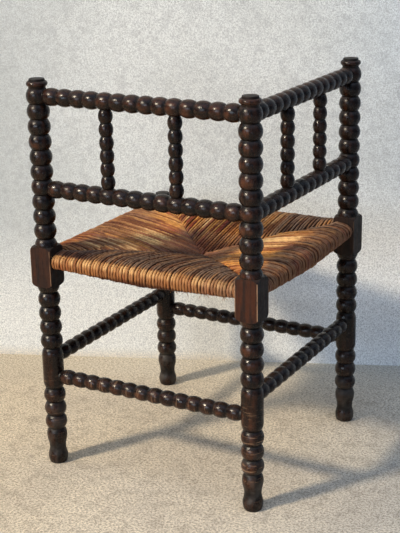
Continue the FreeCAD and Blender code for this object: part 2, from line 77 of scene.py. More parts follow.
class Nodes:
    """A node tree in the making. Most methods add a node and hand back its output."""

    def __init__(self, tree):
        self.tree = tree

    def add(self, kind, settings=None, **inputs):
        node = self.tree.nodes.new(kind)
        for name, value in (settings or {}).items():
            setattr(node, name, value)
        for name, value in inputs.items():
            self.plug(node.inputs[name.replace("_", " ")], value)
        return node

    def plug(self, socket, value):
        if isinstance(value, bpy.types.NodeSocket):
            self.tree.links.new(value, socket)
        else:
            socket.default_value = value

    def place(self, centre=(0, 0, 0), turn=(0, 0, 0), scale=(1, 1, 1)):
        """Coordinates in metres about a centre, turned so that a piece's length lies along Z."""
        where = self.add("ShaderNodeTexCoord").outputs["Object"]
        moved = self.add("ShaderNodeMapping", Vector=where, Location=[-c for c in centre])
        turned = self.add("ShaderNodeMapping", Vector=moved.outputs[0], Rotation=turn)
        return self.stretch(turned.outputs[0], scale)

    def stretch(self, where, scale):
        return self.add("ShaderNodeMapping", Vector=where, Scale=scale).outputs[0]

    def noise(self, where, scale, detail=3.0, rough=0.55):
        node = self.add("ShaderNodeTexNoise", Vector=where, Scale=scale, Detail=detail, Roughness=rough)
        return node.outputs["Fac"]

    def split(self, where):
        return self.add("ShaderNodeSeparateXYZ", Vector=where).outputs

    def stored(self, name, output):
        """A value that the mesh keeps at each of its points."""
        return self.add("ShaderNodeAttribute", {"attribute_name": name}).outputs[output]

    def math(self, kind, first, second=0.0):
        node = self.add("ShaderNodeMath", {"operation": kind})
        self.plug(node.inputs[0], first)
        self.plug(node.inputs[1], second)
        return node.outputs[0]

    def times(self, first, second):
        return self.math("MULTIPLY", first, second)

    def plus(self, first, second):
        return self.math("ADD", first, second)

    def most(self, first, second):
        return self.math("MAXIMUM", first, second)

    def mask(self, value, low, high):
        """0 below one value, 1 above the other, and smooth between them."""
        node = self.add("ShaderNodeMapRange", {"interpolation_type": "SMOOTHSTEP"},
                        Value=value, From_Min=low, From_Max=high)
        return node.outputs[0]

    def span(self, value, low, high):
        """Spread a value from 0 to 1 over another range."""
        return self.add("ShaderNodeMapRange", Value=value, To_Min=low, To_Max=high).outputs[0]

    def mix(self, kind, factor, first, second):
        node = self.add("ShaderNodeMix", {"data_type": "RGBA", "blend_type": kind})
        self.plug(node.inputs["Factor"], factor)
        self.plug(node.inputs[6], as_colour(first))
        self.plug(node.inputs[7], as_colour(second))
        return node.outputs[2]

    def blend(self, factor, first, second):
        return self.mix("MIX", factor, first, second)

    def deepen(self, factor, colour, tint):
        """Multiply a colour by a tint, as far as the factor says."""
        return self.mix("MULTIPLY", factor, colour, tint)

    def either(self, factor, first, second):
        """One shader where the factor is 0 and the other where it is 1."""
        node = self.add("ShaderNodeMixShader", Fac=factor)
        self.plug(node.inputs[1], first)
        self.plug(node.inputs[2], second)
        return node.outputs[0]

    def bump(self, height, strength, distance, under=None):
        node = self.add("ShaderNodeBump", Height=height, Strength=strength, Distance=distance)
        if under is not None:
            self.plug(node.inputs["Normal"], under)
        return node.outputs[0]


class Finish(Nodes):
    """A material and its main shader."""

    def __init__(self, name):
        self.material = bpy.data.materials.new(name)
        self.material.use_nodes = True
        super().__init__(self.material.node_tree)
        self.shader = self.tree.nodes["Principled BSDF"]
        self.output = self.tree.nodes["Material Output"]

    def set(self, **inputs):
        """Set or join the main shader's own sockets."""
        for name, value in inputs.items():
            self.plug(self.shader.inputs[name.replace("_", " ")], value)


def as_colour(value):
    if isinstance(value, tuple) and len(value) == 3:
        return (*value, 1.0)
    return value


def coat(piece, material):
    piece.data.materials.clear()
    piece.data.materials.append(material)


def coat_node(name, material):
    coat(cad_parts[name], material)


# Floor and wall

FLOOR_SIZE = 14.0
WALL_SIZE = 9.0
WALL_PLACE = (-0.21, 0.35, 0.0)
WALL_HEADING = 21.7

FLOOR_COLOUR = (0.86, 0.75, 0.58)
FLOOR_SHADE = (0.72, 0.63, 0.50)
FLOOR_GRIT = (0.21, 0.17, 0.13)
# painted shade for the floor's left side
FLOOR_LEFT_SHADE = (0.88, 0.84, 0.77)
FLOOR_BACK = (0.72, 0.645, 0.51)
FLOOR_FINENESS = 230.0
WALL_COLOUR = (0.86, 0.885, 0.87)
WALL_SHADE = (0.77, 0.795, 0.775)
WALL_GRIT = (0.38, 0.39, 0.40)
WALL_LOW = (0.91, 0.91, 0.87)
WALL_FOOT = (0.74, 0.64, 0.48)
# painted shade for the wall's upper left, and painted bluish light for its lower right
WALL_UPPER_LEFT_SHADE = (0.72, 0.74, 0.76)
WALL_FILL_LIGHT = (0.98, 1.0, 1.0)
WALL_FINENESS = 380.0
# painted shade for the right of the wall and floor
RIGHT_SHADE = (0.62, 0.72, 0.88)

# Where a tone begins and where it is full: heights above the floor, distances aside from
# WALL_PLACE along the wall's foot, and distances back, which end at the wall
LOW_HEIGHT = (0.42, 0.10)
FOOT_HEIGHT = (0.030, -0.014)
UPPER_LEFT_SHADE_ASIDE = (-0.08, -0.46)
UPPER_LEFT_SHADE_HEIGHT = (0.08, 0.34)
FILL_LIGHT_ASIDE = (0.05, 0.30)
FILL_LIGHT_HEIGHT = (0.44, 0.20)
WALL_RIGHT_SHADE_ASIDE = (0.16, 0.80)
WALL_RIGHT_SHADE_HEIGHT = (0.24, 0.46)
FLOOR_RIGHT_SHADE_ASIDE = (0.10, 0.74)
FLOOR_LEFT_SHADE_ASIDE = (0.0, -0.42)
FLOOR_BACK_REACH = (-0.22, -0.01)


def wall_tones(finish, colour, aside, height):
    """Painted light and shade: paler low down, where the floor lights it, darker at the upper left, and
    lit bluish at the lower right, where the chair's shadow falls.
    """
    colour = finish.blend(finish.times(finish.mask(height, *LOW_HEIGHT), 0.8), colour, WALL_LOW)
    colour = finish.blend(finish.mask(height, *FOOT_HEIGHT), colour, WALL_FOOT)
    # painted shade at the wall's upper left
    upper_left_shade = finish.times(finish.mask(aside, *UPPER_LEFT_SHADE_ASIDE), finish.mask(height, *UPPER_LEFT_SHADE_HEIGHT))
    colour = finish.deepen(upper_left_shade, colour, WALL_UPPER_LEFT_SHADE)
    # painted bluish light at the lower right, where the chair's shadow falls on the wall
    fill_light = finish.times(finish.mask(height, *FILL_LIGHT_HEIGHT), finish.mask(aside, *FILL_LIGHT_ASIDE))
    return finish.blend(fill_light, colour, WALL_FILL_LIGHT)


def floor_tones(finish, colour, aside, back):
    """Browner towards the wall, with painted shade on the left."""
    colour = finish.blend(finish.mask(back, *FLOOR_BACK_REACH), colour, FLOOR_BACK)
    return finish.deepen(finish.mask(aside, *FLOOR_LEFT_SHADE_ASIDE), colour, FLOOR_LEFT_SHADE)


def plaster(name, pale, shade, gritty, fineness, on_wall):
    """Trowelled plaster, cloudy and speckled with grit, with painted shade on the right, clear from
    behind.
    """
    finish = Finish(name)
    where = finish.place()
    by_wall = finish.place(WALL_PLACE, (0.0, 0.0, -math.radians(WALL_HEADING)))
    aside, back, height = finish.split(by_wall)
    cloud = finish.mask(finish.noise(where, 3.5, 7.0, 0.66), 0.34, 0.64)
    smears = finish.mask(finish.noise(where, fineness * 0.14, 5.0, 0.72), 0.48, 0.62)
    grit = finish.noise(where, fineness, 5.0, 0.9)
    colour = finish.blend(cloud, pale, shade)
    colour = finish.blend(finish.times(smears, 0.30), colour, gritty)
    if on_wall:
        colour = wall_tones(finish, colour, aside, height)
        right_shade = finish.mask(aside, *WALL_RIGHT_SHADE_ASIDE)
        right_shade = finish.times(right_shade, finish.mask(height, *WALL_RIGHT_SHADE_HEIGHT))
    else:
        colour = floor_tones(finish, colour, aside, back)
        right_shade = finish.mask(aside, *FLOOR_RIGHT_SHADE_ASIDE)
    colour = finish.blend(finish.times(finish.mask(grit, 0.45, 0.57), 0.80), colour, gritty)
    # painted shade on the right
    colour = finish.deepen(right_shade, colour, RIGHT_SHADE)
    finish.set(Base_Color=colour, Roughness=0.85, Specular_IOR_Level=0.15)
    finish.set(Normal=finish.bump(grit, 0.5, 0.002))
    behind = finish.add("ShaderNodeNewGeometry").outputs["Backfacing"]
    clear = finish.add("ShaderNodeBsdfTransparent").outputs[0]
    both = finish.either(behind, finish.shader.outputs[0], clear)
    finish.plug(finish.output.inputs["Surface"], both)
    return finish.material


def lay_floor():
    bpy.ops.mesh.primitive_plane_add(size=FLOOR_SIZE)
    floor = bpy.context.object
    floor.name = "floor"
    coat(floor, plaster("floor_plaster", FLOOR_COLOUR, FLOOR_SHADE, FLOOR_GRIT, FLOOR_FINENESS, False))


def raise_wall():
    """Stand the wall behind the chair, with its foot through WALL_PLACE."""
    bpy.ops.mesh.primitive_plane_add(size=WALL_SIZE)
    wall = bpy.context.object
    wall.name = "wall"
    standing = rotation(WALL_HEADING, "Z") @ rotation(90, "X")
    raised = Matrix.Translation((0, WALL_SIZE / 2, 0))
    wall.data.transform(Matrix.Translation(WALL_PLACE) @ standing @ raised)
    coat(wall, plaster("wall_plaster", WALL_COLOUR, WALL_SHADE, WALL_GRIT, WALL_FINENESS, True))


# Light

# Lamps, by heading and height of the way their light falls, in degrees. The key's way comes from
# the shadows on the photograph's floor.
SEAT_MIDDLE = (0.0, 0.0, 0.36)
LAMPS = {
    "key": {"heading": 59.0, "height": 36.5, "distance": 12.0, "size": (1.25, 1.0),
            "energy": 1470.0, "colour": (1.0, 0.86, 0.66)},
    "side_window": {"heading": 84.0, "height": 14.0, "distance": 12.0, "size": (5.8, 3.4),
                    "energy": 440.0, "colour": (0.74, 0.86, 1.0)},
    "far_window": {"heading": 128.0, "height": 4.0, "distance": 3.4, "size": (0.30, 0.55),
                   "energy": 2.2, "colour": (0.62, 0.78, 1.0)},
}
# The sky brightens between these heights of the view, from the horizon's strength to its own
SKY_RISE = (0.40, 0.90)
SKY_COLOUR = (0.74, 0.91, 1.22, 1.0)
SKY_STRENGTH = 1.02
HORIZON_STRENGTH = 0.17
BACKDROP = (0.62, 0.62, 0.59, 1.0)


def hang_lamp(name, heading, height, distance, size, energy, colour):
    travel = rotation(heading, "Z") @ rotation(height, "Y") @ Vector((1.0, 0.0, 0.0))
    bpy.ops.object.light_add(type="AREA", location=Vector(SEAT_MIDDLE) - travel * distance)
    lamp = bpy.context.object
    lamp.name = name
    lamp.rotation_euler = travel.to_track_quat("-Z", "Y").to_euler()
    lamp.data.shape = "RECTANGLE"
    lamp.data.size, lamp.data.size_y = size
    lamp.data.energy = energy
    lamp.data.color = colour


def light_room():
    """Hang the lamps under a sky that is brighter overhead than at the sides."""
    for name, lamp in LAMPS.items():
        hang_lamp(name, **lamp)
    world = bpy.data.worlds.new("room")
    bpy.context.scene.world = world
    world.use_nodes = True
    room = Nodes(world.node_tree)
    way = room.add("ShaderNodeTexCoord").outputs["Generated"]
    risen = room.mask(room.split(way)[2], *SKY_RISE)
    sky = room.tree.nodes["Background"]
    room.plug(sky.inputs["Color"], SKY_COLOUR)
    room.plug(sky.inputs["Strength"], room.span(risen, HORIZON_STRENGTH, SKY_STRENGTH))
    backdrop = room.add("ShaderNodeBackground", Color=BACKDROP)
    seen = room.add("ShaderNodeLightPath").outputs["Is Camera Ray"]
    both = room.either(seen, sky.outputs[0], backdrop.outputs[0])
    room.plug(room.tree.nodes["World Output"].inputs["Surface"], both)


# Turned wood

STAIN_DARK = (0.0030, 0.0023, 0.0023)
STAIN_BROWN = (0.020, 0.0082, 0.0048)
# colours of wear, also painted as warm light on the side the key lamp lights
WORN_AND_LIT_RED = (0.070, 0.0238, 0.0112)
WORN_AND_LIT_FLAT = (0.056, 0.0125, 0.0022)
WORN_EDGE = (0.48, 0.28, 0.16)
# grey of dust, also used as a painted sheen on faces turned up
DUST_AND_SHEEN = (0.12, 0.105, 0.09)

# Radii of a post's beads and of the grooves between them, and a rod's groove as a share of its bead
POST_CROWN = 0.0203
POST_NECK = 0.0148
ROD_NECK_SHARE = 0.74
# Where a kind of wear begins and where it is full: distances from a post's middle, distances past
# a bead's radius, and heights above the floor
CORNER_REACH = (0.0284, 0.0296)
FLAT_MARGIN = (0.0001, 0.0006)
KICKED_HEIGHT = (0.26, 0.10)
DUSTY_HEIGHT = (0.20, 0.0)
CAP_TOP_HEIGHT = (0.706, 0.714)

# How far the grain shifts from one seed to the next
SEED_STEPS = (1.7, 0.9, 2.3)

UPRIGHT = (0.0, 0.0, 0.0)
ALONG_X = (0.0, -math.pi / 2, 0.0)
ALONG_Y = (math.pi / 2, 0.0, 0.0)
TURNS = (ALONG_X, ALONG_Y, UPRIGHT)

POST_WEAR = {"post_left": 0.44, "post_back": 0.80, "post_right": 0.1, "post_front": 0.2}
ROD_WEAR = {
    "top_rail_left": 0.75, "top_rail_right": 0.45, "lower_rail_left": 0.6, "lower_rail_right": 0.35,
    "spindle_left_outer": 0.4, "spindle_left_inner": 0.45, "spindle_right_inner": 0.2,
    "spindle_right_outer": 0.2, "stretcher_back_left": 0.75, "stretcher_back_right": 0.15,
    "stretcher_front_right": 0.2, "stretcher_front_left": 0.2,
}
SEAT_RAIL_WEAR = 0.8
SEAT_RAIL_SEED = 40


def turned_wood(name, centre, turn, crown, neck, wear, seed):
    """Dark stained wood, redder where handling has rubbed its swellings, mostly on the side the key
    lamp lights, which is painted light; dark in the grooves, dusty low down, with a painted sheen on
    faces turned up.
    """
    finish = Finish(name)
    where = finish.place(centre, turn)
    shift = finish.add("ShaderNodeVectorMath", {"operation": "ADD"})
    finish.plug(shift.inputs[0], where)
    finish.plug(shift.inputs[1], [seed * step for step in SEED_STEPS])
    shifted = shift.outputs[0]
    along_grain = finish.stretch(shifted, (1.0, 1.0, 0.10))
    patches = finish.noise(shifted, 42.0, 3.0, 0.55)
    smudges = finish.noise(shifted, 120.0, 4.0, 0.7)
    streaks = finish.noise(along_grain, 130.0, 4.0, 0.65)
    grain = finish.noise(along_grain, 420.0, 4.0, 0.65)
    rings = finish.noise(finish.stretch(shifted, (0.02, 0.02, 1.0)), 900.0, 2.0)
    scratches = finish.noise(finish.stretch(shifted, (0.4, 0.4, 4.5)), 75.0, 3.0, 0.6)

    # the parts of the turning, told apart by their distance from its middle
    across, deep, _ = finish.split(where)
    radius = finish.math("SQRT", finish.plus(finish.times(across, across), finish.times(deep, deep)))
    crowned = finish.mask(radius, neck + (crown - neck) * 0.3, crown)
    grooved = finish.mask(radius, neck + (crown - neck) * 0.4, neck)
    corners = finish.mask(radius, *CORNER_REACH)
    flats = finish.mask(radius, crown + FLAT_MARGIN[0], crown + FLAT_MARGIN[1])
    height = finish.split(finish.add("ShaderNodeTexCoord").outputs["Object"])[2]
    kicked = finish.times(crowned, finish.mask(height, *KICKED_HEIGHT))
    dusty = finish.times(finish.mask(height, *DUSTY_HEIGHT), finish.mask(patches, 0.4, 0.7))

    # wear shows mostly on the sides facing -Y and a little -X, where the key lamp falls: real wear,
    # with the lamp's warm light painted on it; the sides turned away keep their stain
    facing = finish.split(finish.add("ShaderNodeNewGeometry").outputs["Normal"])
    towards_key_lamp = finish.math("SUBTRACT", finish.times(facing[0], -0.35), facing[1])
    key_lamp_side = finish.span(finish.mask(towards_key_lamp, 0.35, 0.95), 0.12, 1.0)
    worn_and_lit = finish.times(finish.mask(patches, 0.66 - 0.30 * wear, 0.90 - 0.30 * wear), crowned)
    worn_and_lit = finish.most(worn_and_lit, finish.times(flats, 0.9 * wear))
    worn_and_lit = finish.most(worn_and_lit, finish.times(kicked, 0.9 * wear))
    worn_and_lit = finish.times(worn_and_lit, key_lamp_side)
    worn_and_lit = finish.most(worn_and_lit, finish.times(finish.mask(height, *CAP_TOP_HEIGHT), 0.8 * wear))
    worn_and_lit = finish.times(worn_and_lit, finish.span(finish.mask(streaks, 0.30, 0.62), 0.25, 1.0))
    scuffed = finish.times(kicked, finish.times(finish.mask(scratches, 0.58, 0.66), wear))
    rubbed = finish.times(corners, finish.times(finish.mask(patches, 0.30, 0.5), wear))
    # dust on the low parts, and a painted sheen on faces turned up
    top_sheen = finish.mask(facing[2], 0.70, 1.0)
    dust_and_sheen = finish.most(finish.times(dusty, 0.40), finish.times(top_sheen, 0.10))

    colour = finish.blend(finish.mask(streaks, 0.36, 0.66), STAIN_DARK, STAIN_BROWN)
    colour = finish.blend(worn_and_lit, colour, finish.blend(flats, WORN_AND_LIT_RED, WORN_AND_LIT_FLAT))
    colour = finish.blend(finish.times(scuffed, 0.6), colour, WORN_EDGE)
    colour = finish.blend(rubbed, colour, WORN_EDGE)
    colour = finish.blend(finish.times(finish.mask(grain, 0.56, 0.70), 0.75), colour, STAIN_DARK)
    colour = finish.blend(finish.times(grooved, 0.8), colour, STAIN_DARK)
    colour = finish.blend(dust_and_sheen, colour, DUST_AND_SHEEN)

    rough = finish.span(finish.mask(smudges, 0.3, 0.7), 0.16, 0.36)
    rough = finish.plus(rough, finish.times(grooved, 0.25))
    rough = finish.plus(rough, finish.times(dusty, 0.35))
    rough = finish.plus(rough, finish.times(flats, 0.42))
    finish.set(Base_Color=colour, Roughness=rough, Specular_IOR_Level=0.26)
    dents = finish.bump(smudges, 0.35, 0.0010)
    pores = finish.bump(grain, 0.25, 0.0005, dents)
    finish.set(Normal=finish.bump(rings, 0.12, 0.0003, pores))
    return finish.material


def finish_wood():
    """Give each turned piece wood of its own, with its grain along its length."""
    for seed, (name, wear) in enumerate(POST_WEAR.items(), start=1):
        low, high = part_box(name)
        middle = (low + high) / 2
        foot = (middle.x, middle.y, 0.0)
        wood = turned_wood(name + "_wood", foot, UPRIGHT, POST_CROWN, POST_NECK, wear, seed)
        coat_node(name, wood)
    for seed, (name, wear) in enumerate(ROD_WEAR.items(), start=len(POST_WEAR) + 1):
        low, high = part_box(name)
        size = list(high - low)
        turn = TURNS[size.index(max(size))]
        crown = min(size) / 2
        neck = crown * ROD_NECK_SHARE
        wood = turned_wood(name + "_wood", tuple((low + high) / 2), turn, crown, neck, wear, seed)
        coat_node(name, wood)
    rail_wood = turned_wood("seat_rail_wood", (0, 0, 0), UPRIGHT, POST_CROWN, POST_NECK,
                            SEAT_RAIL_WEAR, SEAT_RAIL_SEED)
    for side in PANELS:
        coat_node("seat_rail_" + side, rail_wood)


# Rush seat: one cord for each turn of rush, wound over a seat rail from valley to valley.
# A panel is made on the +Y side, with "out" along +Y, and turned to its own side.

PANELS = {"front_right": 0, "front_left": 90, "back_left": 180, "back_right": 270}
CROSSWISE = ("front_left", "back_right")

# Half a panel's length; the middle, radius and top of the rounding along its edge; and the ridge
# a little way in from there
RUSH_REACH = 0.1847
RUSH_EDGE = 0.2155
RUSH_TURN = 0.009
RUSH_TOP = 0.4125
RIDGE_OUT = 0.1950
RIDGE_TOP = 0.4180
# Heights and swellings at these distances from a panel's middle
ACROSS = (0.0, 0.1108, 0.1847)
VALLEY_TOPS = (0.3800, 0.4045, 0.4110)
CROWNS = (0.0045, 0.0030, 0.0014)
UNDER_EDGES = (0.3805, 0.3853, 0.3885)
UNDER_VALLEYS = (0.3600, 0.3771, 0.3885)
BELLIES = (0.0078, 0.0050, 0.0016)
# How a cord comes up out of the valley, and where its two ends lie, hidden below its neighbours
VALLEY_ROLL = 0.010
VALLEY_DROP = 0.0036
ROLL_DROP = 0.0007
UPPER_END = (-0.0065, -0.013)
LOWER_END = (-0.0085, 0.007)
BROW = math.radians(60)

CORDS = 62
CORD_HALF = 0.0029
CORD_TWIST = 0.034
ROUTE_STEPS = 7
PROFILE_POINTS = 12
# How far cords stray: sideways, by turns in and out at the valley, in waves, and up or down
STRAY = 0.0007
STAGGER = 0.0008
SWAY = 0.0006
SWAY_PACE = 28.0
UNEVEN = {"front_right": 0.0006, "front_left": 0.0009, "back_left": 0.0006, "back_right": 0.0015}
# A cord's thickness against the others, the most that it may be thinned, and its change on the way
THICKNESS = (0.88, 1.08)
THINNED = {"front_right": 0.01, "front_left": 0.04, "back_left": 0.01, "back_right": 0.10}
SWELLING = (0.96, 1.04)
FULL_TURN = 6.28

# Streaks: how fast their coordinates run across and along a panel, and how far they shift from
# one cord or one degree of the panel's turn to the next
LAY_ACROSS = 95.0
LAY_CROSSWISE = 115.0
LAY_ALONG = 7.0
LAY_SHIFT = 0.07
CORD_SHIFT = 1.37

ATTRIBUTE_KEYS = {"FLOAT": "value", "FLOAT_VECTOR": "vector", "FLOAT_COLOR": "color"}


def between(share, first, second):
    return first + (second - first) * share


def arched(share, first, second, rise):
    """A height on the way from one end to the other, raised most in the middle."""
    return between(share, first, second) + rise * 4 * share * (1 - share)


def ramp(values, low, high):
    """0 at one value, 1 at the other, and smooth between them."""
    share = np.clip((values - low) / (high - low), 0.0, 1.0)
    return share * share * (3 - 2 * share)


def hump(values, middle, reach):
    """1 at the middle, falling smoothly to 0 at the reach on both sides."""
    return ramp(np.abs(values - middle), reach, 0.0)


def cord_profile():
    """Outline of one cord: a few leaves rolled together, not quite round."""
    profile = bpy.data.curves.new("rush_profile", "CURVE")
    profile.dimensions = "2D"
    spline = profile.splines.new("POLY")
    spline.points.add(PROFILE_POINTS - 1)
    for number, point in enumerate(spline.points):
        angle = 2 * math.pi * number / PROFILE_POINTS
        reach = CORD_HALF * (1 + 0.09 * math.cos(2 * angle) + 0.05 * math.cos(3 * angle + 1.0))
        point.co = (reach * math.cos(angle), reach * math.sin(angle), 0.0, 1.0)
    spline.use_cyclic_u = True
    piece = bpy.data.objects.new("rush_profile", profile)
    bpy.context.scene.collection.objects.link(piece)
    return piece


def cord_route(across, stagger, rise):
    """Points (out, up) along a cord's middle, from the upper valley round the rail to the lower."""
    away = min(abs(across), RUSH_REACH)
    inner = abs(across) + stagger
    crown = np.interp(away, ACROSS, CROWNS)
    belly = np.interp(away, ACROSS, BELLIES)
    top_in = np.interp(away, ACROSS, VALLEY_TOPS) - CORD_HALF + rise
    top_out = RIDGE_TOP - CORD_HALF + rise
    under_in = np.interp(away, ACROSS, UNDER_VALLEYS) + CORD_HALF
    under_out = np.interp(away, ACROSS, UNDER_EDGES) + CORD_HALF + rise
    roll = min(VALLEY_ROLL, 0.45 * (RIDGE_OUT - inner))

    def on_top(out):
        return out, arched((out - inner) / (RIDGE_OUT - inner), top_in, top_out, crown)

    points = [(inner + UPPER_END[0], top_in + UPPER_END[1]), (inner, top_in - VALLEY_DROP)]
    out, up = on_top(inner + 0.4 * roll)
    points.append((out, up - ROLL_DROP))
    points += [on_top(between(part, inner + roll, RIDGE_OUT)) for part in (0.0, 0.25, 0.5, 0.75, 1.0)]
    turn = RUSH_TURN - CORD_HALF + rise
    diagonal = turn * math.sqrt(0.5)
    points.append((RUSH_EDGE + turn * math.cos(BROW), RUSH_TOP - RUSH_TURN + turn * math.sin(BROW)))
    points.append((RUSH_EDGE + turn, RUSH_TOP - RUSH_TURN))
    points.append((RUSH_EDGE + turn, under_out + turn))
    points.append((RUSH_EDGE + diagonal, under_out + turn - diagonal))
    for part in (1.0, 0.75, 0.5, 0.25, 0.07, 0.0):
        points.append((between(part, inner, RUSH_EDGE), arched(part, under_in, under_out, -belly)))
    points.append((inner + LOWER_END[0], under_in + LOWER_END[1]))
    return points


def new_curve(name, steps):
    curve = bpy.data.curves.new(name, "CURVE")
    curve.dimensions = "3D"
    curve.resolution_u = steps
    curve.use_fill_caps = True
    return curve


def new_spline(curve, count):
    """A smooth spline's points, still to be placed."""
    spline = curve.splines.new("BEZIER")
    spline.bezier_points.add(count - 1)
    for point in spline.bezier_points:
        point.handle_left_type = "AUTO"
        point.handle_right_type = "AUTO"
    return spline.bezier_points


def as_mesh(curve):
    """The curve's surface as a mesh object of the same name."""
    piece = bpy.data.objects.new(curve.name, curve)
    bpy.context.scene.collection.objects.link(piece)
    bpy.ops.object.select_all(action="DESELECT")
    piece.select_set(True)
    bpy.context.view_layer.objects.active = piece
    bpy.ops.object.convert(target="MESH")
    return bpy.context.object


def point_places(mesh):
    places = np.empty(len(mesh.vertices) * 3, np.float32)
    mesh.vertices.foreach_get("co", places)
    return places.reshape(-1, 3)


def store(mesh, name, kind, values):
    """Keep a value at each of the mesh's points, for the finish to read."""
    slot = mesh.attributes.new(name, kind, "POINT")
    slot.data.foreach_set(ATTRIBUTE_KEYS[kind], values.astype(np.float32).ravel())


def wind_cords(side, profile, chance):
    """One panel's cords as a single mesh, in the +Y position."""
    curve = new_curve("rush_" + side, ROUTE_STEPS)
    curve.twist_mode = "MINIMUM"
    curve.bevel_mode = "OBJECT"
    curve.bevel_object = profile
    pitch = 2 * RUSH_REACH / CORDS
    for number in range(CORDS):
        across = -RUSH_REACH + pitch * (number + 0.5) + chance.uniform(-STRAY, STRAY)
        stagger = STAGGER if number % 2 else -STAGGER
        route = cord_route(across, stagger, chance.uniform(-UNEVEN[side], UNEVEN[side]))
        sway = chance.uniform(-SWAY, SWAY)
        phase = chance.uniform(0, FULL_TURN)
        thickness = chance.uniform(*THICKNESS) - chance.random() * THINNED[side]
        turned = chance.uniform(0, FULL_TURN)
        last = None
        for point, (out, up) in zip(new_spline(curve, len(route)), route):
            place = Vector((across + sway * math.sin(out * SWAY_PACE + phase), out, up))
            if last is not None:
                turned += (place - last).length / CORD_TWIST * 2 * math.pi
            last = place
            point.co = place
            point.tilt = turned
            point.radius = thickness * chance.uniform(*SWELLING)
    return as_mesh(curve)


# Tone of the rush: how aged, red and pale each panel's top is, where light is painted on it, how
# much its cords vary, how its band round the edge looks, and how deep in painted shade it lies. The
# pairs are where a part of the panel begins and where it is full, out from the seat's middle or up
# from the floor.

FRONT_BAND = {"band_age": 0.25, "band_pale": 0.1, "band_red": 0.2}
BAND_OUT = (0.2095, 0.2165)
BAND_LEAN = 0.35
BAND_UP = (0.3825, 0.3890)
UNDER_UP = (0.4000, 0.3930)
EDGE_FOOT_UP = (0.3955, 0.3850)
INSIDE_OUT = (0.195, 0.165)
MOST_TONE = 1.6


class Spots:
    """Where the points of a panel's cords lie, each as a share of the panel's parts."""

    def __init__(self, across, out, up):
        inner = np.abs(across)
        self.up = up
        self.along = across / RUSH_REACH
        # from the valley to the ridge
        self.share = np.clip((out - inner) / (RIDGE_OUT - inner + 1e-6), 0.0, 1.0)
        self.band = ramp(out + BAND_LEAN * (RUSH_TOP - up), *BAND_OUT) * ramp(up, *BAND_UP)
        self.under = ramp(up, *UNDER_UP) * (1 - self.band)
        self.outside = np.maximum(self.band, self.under)
        # painted shade low on the edge band, with some dirt
        self.low_on_edge = ramp(up, *EDGE_FOOT_UP) * self.outside


def back_left_tone(spots):
    """Greyed all over, with a painted highlight along the upper half of its band, and painted shade low
    on the band and by the left post.
    """
    along, up = spots.along, spots.up
    # painted highlight along the top of the band
    band_highlight = ramp(up, 0.4000, 0.4070)
    worn_middle = hump(along, -0.1, 0.5) * ramp(spots.share, 0.9, 0.4)
    # painted shade low on the band, reaching higher up in its middle
    band_low = ramp(up, between(hump(along, 0.1, 0.8), 0.3900, 0.3975), 0.3880)
    # painted shade by the left post
    by_post = ramp(along, 0.40, 0.70) * (1 - spots.band)
    return {
        "age": 1.02 - 0.20 * worn_middle + 0.15 * ramp(along, 0.4, 0.9),
        "red": 0.25 + 0.45 * hump(along, -0.05, 0.5),
        "pale": 0.16,
        "painted_light": 0.0,
        "varied": 0.34,
        "band_age": 0.15 + 0.60 * ramp(along, -0.3, -1.0) - 0.15 * band_highlight,
        "band_pale": 0.02 + 0.60 * band_highlight,
        # redder towards the band's foot, part of its painted shade
        "band_red": 0.20 + 0.30 * ramp(up, 0.402, 0.392),
        "shade": np.maximum(band_low, by_post),
    }


def front_left_tone(spots):
    """Golden with red streaks, grey by the left post, with painted light over its middle, towards the
    valley.
    """
    along, share = spots.along, spots.share
    near_post = ramp(along, -0.36, -0.52) * ramp(share, 0.96, 0.72)
    outer = ramp(share, 0.35, 0.80) * ramp(along, -0.62, -0.3)
    red_streak = hump(along, -0.22, 0.18) * ramp(share, 0.8, 0.3)
    # painted light over the inner part, from the middle towards the left post
    painted_light_inside = ramp(share, 0.85, 0.40) * ramp(along, 0.35, -0.05)
    return {
        "age": 0.02 + 0.70 * near_post + 0.56 * outer,
        "red": 0.85 + 0.2 * hump(along, 0.18, 0.2) + 0.6 * red_streak,
        "pale": (0.20 + 1.80 * painted_light_inside) * (1 - 0.3 * near_post),
        "painted_light": 1.05 * hump(along, -0.12, 0.40) * ramp(share, 0.80, 0.35),
        "varied": 0.30,
        "shade": spots.low_on_edge,
        **FRONT_BAND,
    }


def front_right_tone(spots):
    """Pale and red by turns on the left, grey towards the right post."""
    along, share = spots.along, spots.share
    return {
        "age": 0.04 + 0.92 * ramp(along, 0.18, 0.62) + 0.45 * ramp(share, 0.70, 0.98),
        "red": 1.1 * ramp(along, 0.40, -0.05) * ramp(along, -0.85, -0.45) + 0.15,
        "pale": 1.25 * ramp(along, 0.65, 0.2),
        "painted_light": 0.0,
        "varied": 0.46,
        "shade": spots.low_on_edge,
        **FRONT_BAND,
    }


def back_right_tone(spots):
    """Brown, with one pale patch of painted light inside the ridge, and painted shade on its band."""
    along, share = spots.along, spots.share
    inward = ramp(share, 0.98, 0.74)
    by_front = ramp(along, 0.2, 0.6) * ramp(share, 0.7, 1.0)
    return {
        "age": 0.84 - 0.80 * inward * ramp(along, -0.78, -0.50) + 0.25 * by_front,
        "red": 0.55 + 0.60 * hump(along, -0.05, 0.25) - 0.5 * hump(along, -0.28, 0.20),
        "pale": 0.24 + 1.9 * hump(along, -0.26, 0.42) * inward,
        "painted_light": 1.2 * hump(along, -0.25, 0.40) * inward,
        "varied": 0.50,
        "band_age": 0.60,
        "band_pale": 0.02,
        "band_red": 0.80,
        # painted shade over the band
        "shade": 0.22 * spots.outside,
    }


SIDE_TONES = {"front_right": front_right_tone, "front_left": front_left_tone,
              "back_left": back_left_tone, "back_right": back_right_tone}


